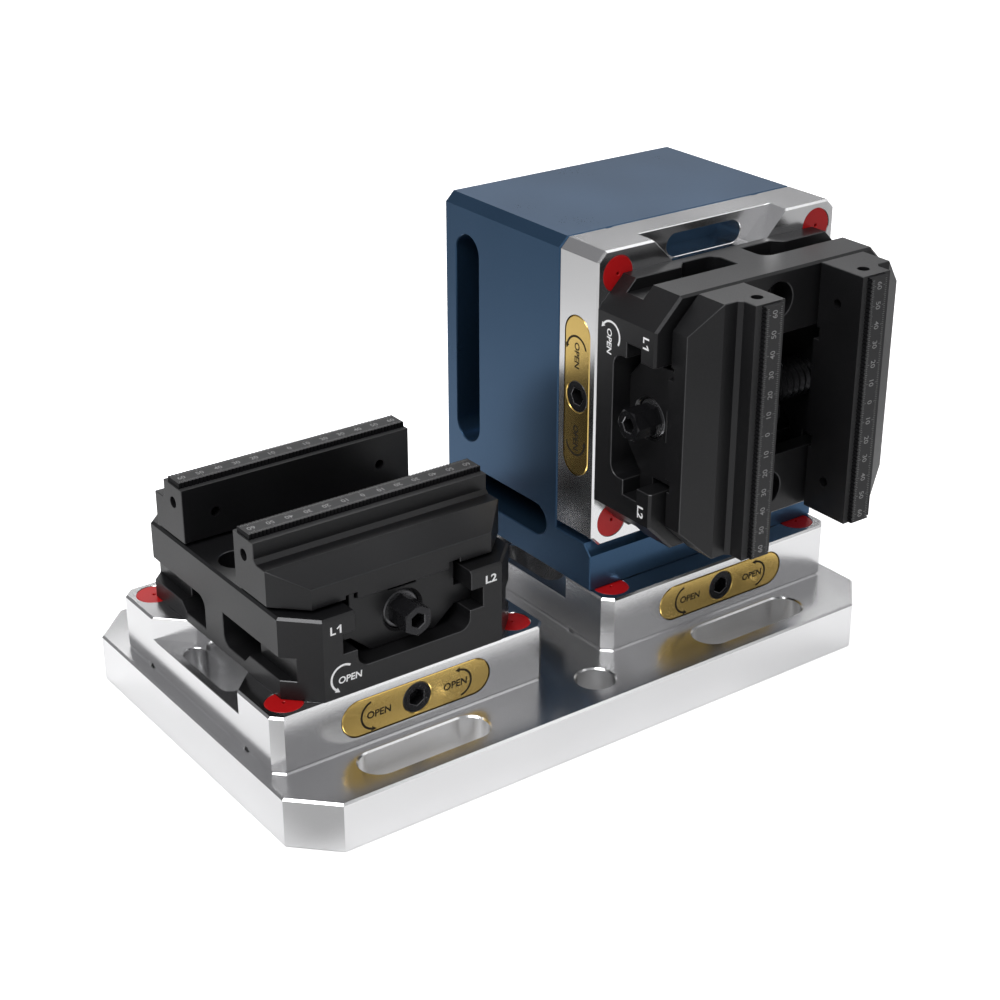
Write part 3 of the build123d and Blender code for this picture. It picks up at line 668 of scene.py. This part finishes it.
def arrow_arc(work, centre, radius, width, start, sweep):
    """A curved stroke, from the start angle through the sweep in degrees, with a pointed head."""
    middle = Vector((*centre, 0))
    ray = Vector((math.cos(math.radians(start)), math.sin(math.radians(start)), 0))
    bmesh.ops.spin(
        work,
        geom=chain(work, [middle + ray * (radius + side * width / 2) for side in (-1, 1)]),
        cent=middle,
        axis=(0, 0, 1),
        dvec=(0, 0, 0),
        angle=math.radians(sweep),
        steps=24,
    )
    end = math.radians(start + sweep)
    tip = middle + Vector((math.cos(end), math.sin(end), 0)) * radius
    heading = end + math.copysign(math.pi / 2, sweep)
    turn = Matrix.Translation(tip) @ Matrix.Rotation(heading - math.pi / 2, 4, "Z")
    place = turn @ Matrix.Diagonal((1.0, 1.15, 1, 1)) @ Matrix.Translation((0, width * 0.6, 0))
    bmesh.ops.create_circle(work, cap_ends=True, segments=3, radius=width * 1.4, matrix=place)


def rectangle(work, place, width, height):
    """A flat rectangle of that size, centred at a place."""
    matrix = place @ Matrix.Diagonal((width, height, 1, 1))
    bmesh.ops.create_grid(work, x_segments=1, y_segments=1, size=0.5, matrix=matrix)


def figure_one(work, x, z, height):
    """The figure 1: an upright bar with a short slanted flag."""
    rectangle(work, Matrix.Translation((x + 0.5, z, 0)), 0.95, height)
    top = Matrix.Translation((x - 0.55, z + height / 2 - 1.05, 0))
    rectangle(work, top @ Matrix.Rotation(math.radians(38), 4, "Z"), 2.0, 0.8)


def face_outwards(work):
    """Turns flat marks so that they face along +Z."""
    work.normal_update()
    bmesh.ops.reverse_faces(work, faces=[face for face in work.faces if face.normal.z < 0])


def on_front(y):
    """The matrix that stands a flat mark up on a unit's front face, at that y."""
    return Matrix(((1, 0, 0, 0), (0, 0, -1, y), (0, 1, 0, 0), (0, 0, 0, 1)))


def vise_print(unit):
    """White print on a vise's end face: the opening arrow and the two slot labels."""
    work = bmesh.new()
    arrow_arc(work, (-39.6, 9.9), 6.8, 1.1, 58, 172)
    at(work, lettering("OPEN", (12.8, 3.6), shear=0.1, weight=0.13), -36.2, 9.1)
    at(work, lettering("L", (2.9, LABEL_HEIGHT), weight=0.15), -44.5, 35.9)
    figure_one(work, -41.0, 35.9, LABEL_HEIGHT)
    at(work, lettering("L2", (6.5, LABEL_HEIGHT), weight=0.15), 43.8, 35.7)
    face_outwards(work)
    work.transform(seat(VISES[unit]) @ on_front(VISE_FRONT - PRINT_RISE))
    new_piece(unit + "_print", work, WHITE_PRINT, unit)


def plate_engraving(unit):
    """Dark engraving on a front plate: one opening arrow on each side of the drive."""
    work = bmesh.new()
    arrow_arc(work, (-23.9, 14.4), 7.5, 1.15, 105, 150)
    arrow_arc(work, (23.9, 14.5), 7.2, 1.15, -80, 165)
    at(work, lettering("OPEN", (13.5, 3.8), shear=0.05, weight=0.13), -21.6, 14.8)
    at(work, lettering("OPEN", (13.7, 3.9), shear=0.05, weight=0.13), 22.0, 14.8)
    face_outwards(work)
    work.transform(seat(MODULES[unit]) @ on_front(MODULE_FRONT - ENGRAVING_RISE))
    new_piece(unit + "_plate_engraving", work, DARK_ENGRAVING, BODY_OF[unit + "_front_plate"])


def scale_marks(unit, end):
    """A jaw's scale: a tick each millimetre on both edges of the grip and a number each ten."""
    work = bmesh.new()
    for step in TICKS:
        tall = LONG_TICK if step % 10 == 0 else MIDDLE_TICK if step % 5 == 0 else SHORT_TICK
        for edge, inward in zip(STRIP_EDGES, (1, -1)):
            middle = edge + inward * (TICK_INSET + tall / 2)
            rectangle(work, Matrix.Translation((step, middle, 0)), TICK_WIDTH, tall)
    for step in range(-6, 7):
        number = lettering(str(10 * abs(step)), (None, NUMERAL_HEIGHT), weight=0.02)
        at(work, number, 10 * step, STRIP_MIDDLE)
    face_outwards(work)
    half_turn = Matrix.Rotation(math.pi if end == "front" else 0, 4, "Z")
    work.transform(seat(VISES[unit]) @ Matrix.Translation((0, 0, JAW_TOP - SCALE_DROP)) @ half_turn)
    new_piece(f"{unit}_{end}_scale", work, GREY_ENGRAVING, f"{unit}_{end}_slide")


for unit in VISES:
    vise_print(unit)
    for end in ENDS:
        scale_marks(unit, end)
for unit in MODULES:
    plate_engraving(unit)


# ---- Floor, lights and camera ----

# Where the floor is painted darker in the metal's mirror images, in metres: painted shade beside the plate's
# left front corner, painted shadow under the plate and painted shade far away; each pair of ramps on an axis
# runs from light to dark on one side and back on the other
CORNER_X = ((-0.15, -0.185), (-0.31, -0.27))
CORNER_Y = ((-0.08, -0.115), (-0.23, -0.19))
UNDER_X = ((-0.185, -0.175), (0.185, 0.175))
UNDER_Y = ((-0.117, -0.107), (0.117, 0.107))
FAR = (0.30, 0.62)
CORNER_SHADE, FAR_SHADE, UNDER_SHADE = 0.52, 0.45, 0.3
CAMERA_GLOW, MIRROR_GLOW = 0.75, 0.16

# The room by height: place on the ramp and colour
ROOM = ((0.02, (0.80, 0.80, 0.81)), (0.36, (0.16, 0.16, 0.165)), (0.9, (0.30, 0.30, 0.31)))

# Name, place, aim, size and watts
LAMPS = (
    ("key_softbox", (-0.85, -0.42, 1.45), (0, 0, 0.08), (0.9, 0.9), 15),
    ("back_softbox", (0.7, 1.0, 1.35), (0, 0, 0.1), (1.2, 0.7), 13),
    ("right_softbox", (1.0, -0.8, 1.6), (0.05, 0, 0.1), (1.0, 1.0), 3),
)

# The camera as fitted to the photograph
CAMERA_PLACE = (-0.5287, -0.7374, 0.5198)
CAMERA_DIP, CAMERA_HEADING = 25.37, -36.07
LENS, SENSOR = 69.55, 36.0


def floor_finish():
    """White to the camera and pale to the lamps, with painted shade in the metal's mirror images under the
    plate, beside its left front corner and far away.
    """
    pale = bpy.data.materials.new("pale_floor")
    pale.use_nodes = True
    nodes, links = pale.node_tree.nodes, pale.node_tree.links
    shader = nodes["Principled BSDF"]
    shader.inputs["Roughness"].default_value = 0.9
    shader.inputs["Specular IOR Level"].default_value = 0.0
    glow = nodes.new("ShaderNodeEmission")
    glow.inputs["Color"].default_value = (1, 1, 1, 1)
    path = nodes.new("ShaderNodeLightPath")
    place = nodes.new("ShaderNodeTexCoord")
    split = nodes.new("ShaderNodeSeparateXYZ")
    links.new(place.outputs["Object"], split.inputs[0])

    def ramp(source, start, end):
        spread = nodes.new("ShaderNodeMapRange")
        spread.interpolation_type = "SMOOTHSTEP"
        spread.inputs["From Min"].default_value = start
        spread.inputs["From Max"].default_value = end
        links.new(source, spread.inputs["Value"])
        return spread.outputs["Result"]

    def combine(operation, first, second):
        sum_up = nodes.new("ShaderNodeMath")
        sum_up.operation = operation
        for socket, value in zip(sum_up.inputs, (first, second)):
            if isinstance(value, (int, float)):
                socket.default_value = value
            else:
                links.new(value, socket)
        return sum_up.outputs[0]

    def patch(x_ramps, y_ramps):
        x_side = combine("MULTIPLY", *(ramp(split.outputs["X"], *ends) for ends in x_ramps))
        y_side = combine("MULTIPLY", *(ramp(split.outputs["Y"], *ends) for ends in y_ramps))
        return combine("MULTIPLY", x_side, y_side)

    reach = nodes.new("ShaderNodeVectorMath")
    reach.operation = "LENGTH"
    links.new(place.outputs["Object"], reach.inputs[0])
    far = ramp(reach.outputs["Value"], *FAR)
    corner = combine("MULTIPLY", patch(CORNER_X, CORNER_Y), CORNER_SHADE)
    under = combine("MULTIPLY", patch(UNDER_X, UNDER_Y), UNDER_SHADE)
    dark = combine("MAXIMUM", corner, combine("MULTIPLY", far, FAR_SHADE))
    dark = combine("MAXIMUM", dark, under)
    # Painted shade: glossy rays see the floor's colour and glow drop in the dark places
    mirrored = combine("MULTIPLY", path.outputs["Is Glossy Ray"], combine("SUBTRACT", 1.0, dark))
    shade = nodes.new("ShaderNodeMix")
    shade.data_type = "RGBA"
    shade.inputs["A"].default_value = (0.9, 0.9, 0.9, 1)
    shade.inputs["B"].default_value = (0.02, 0.02, 0.02, 1)
    links.new(combine("MULTIPLY", path.outputs["Is Glossy Ray"], dark), shade.inputs["Factor"])
    links.new(shade.outputs["Result"], shader.inputs["Base Color"])
    seen = combine("MULTIPLY", path.outputs["Is Camera Ray"], CAMERA_GLOW)
    glowing = combine("ADD", seen, combine("MULTIPLY", mirrored, MIRROR_GLOW))
    links.new(glowing, glow.inputs["Strength"])
    add = nodes.new("ShaderNodeAddShader")
    links.new(shader.outputs[0], add.inputs[0])
    links.new(glow.outputs[0], add.inputs[1])
    links.new(add.outputs[0], nodes["Material Output"].inputs["Surface"])
    return pale


def pale_floor():
    """A plain pale floor that keeps the fixture's shadow, with painted shade in its mirror images."""
    mesh = bpy.data.meshes.new("floor")
    work = bmesh.new()
    bmesh.ops.create_grid(work, x_segments=1, y_segments=1, size=6)
    work.to_mesh(mesh)
    work.free()
    floor = bpy.data.objects.new("floor", mesh)
    bpy.context.scene.collection.objects.link(floor)
    mesh.materials.append(floor_finish())


def studio_world():
    """A room that is bright at the floor's edge and darker overhead."""
    world = bpy.data.worlds.new("studio")
    bpy.context.scene.world = world
    world.use_nodes = True
    nodes, links = world.node_tree.nodes, world.node_tree.links
    sky = nodes["Background"]
    sky.inputs["Strength"].default_value = 1.0
    place = nodes.new("ShaderNodeTexCoord")
    split = nodes.new("ShaderNodeSeparateXYZ")
    ramp = nodes.new("ShaderNodeValToRGB")
    stops = ramp.color_ramp.elements
    stops.new(ROOM[1][0])
    for stop, (position, colour) in zip(stops, ROOM):
        stop.position = position
        stop.color = (*colour, 1)
    links.new(place.outputs["Generated"], split.inputs[0])
    links.new(split.outputs["Z"], ramp.inputs["Fac"])
    links.new(ramp.outputs["Color"], sky.inputs["Color"])


def softbox(name, place, aim, size, power):
    """A rectangular lamp at a place, turned to its aim."""
    data = bpy.data.lights.new(name, "AREA")
    data.shape = "RECTANGLE"
    data.size, data.size_y = size
    data.energy = power
    lamp = bpy.data.objects.new(name, data)
    bpy.context.scene.collection.objects.link(lamp)
    lamp.location = place
    lamp.rotation_euler = (Vector(aim) - Vector(place)).to_track_quat("-Z", "Y").to_euler()


def fitted_camera():
    """The camera that sees the fixture as the photograph does."""
    data = bpy.data.cameras.new("camera")
    data.lens = LENS
    data.sensor_width = SENSOR
    camera = bpy.data.objects.new("camera", data)
    bpy.context.scene.collection.objects.link(camera)
    camera.location = CAMERA_PLACE
    camera.rotation_euler = (math.radians(90 - CAMERA_DIP), 0, math.radians(CAMERA_HEADING))
    bpy.context.scene.camera = camera


pale_floor()
studio_world()
for lamp in LAMPS:
    softbox(*lamp)
fitted_camera()
bpy.context.scene.view_settings.view_transform = "Standard"
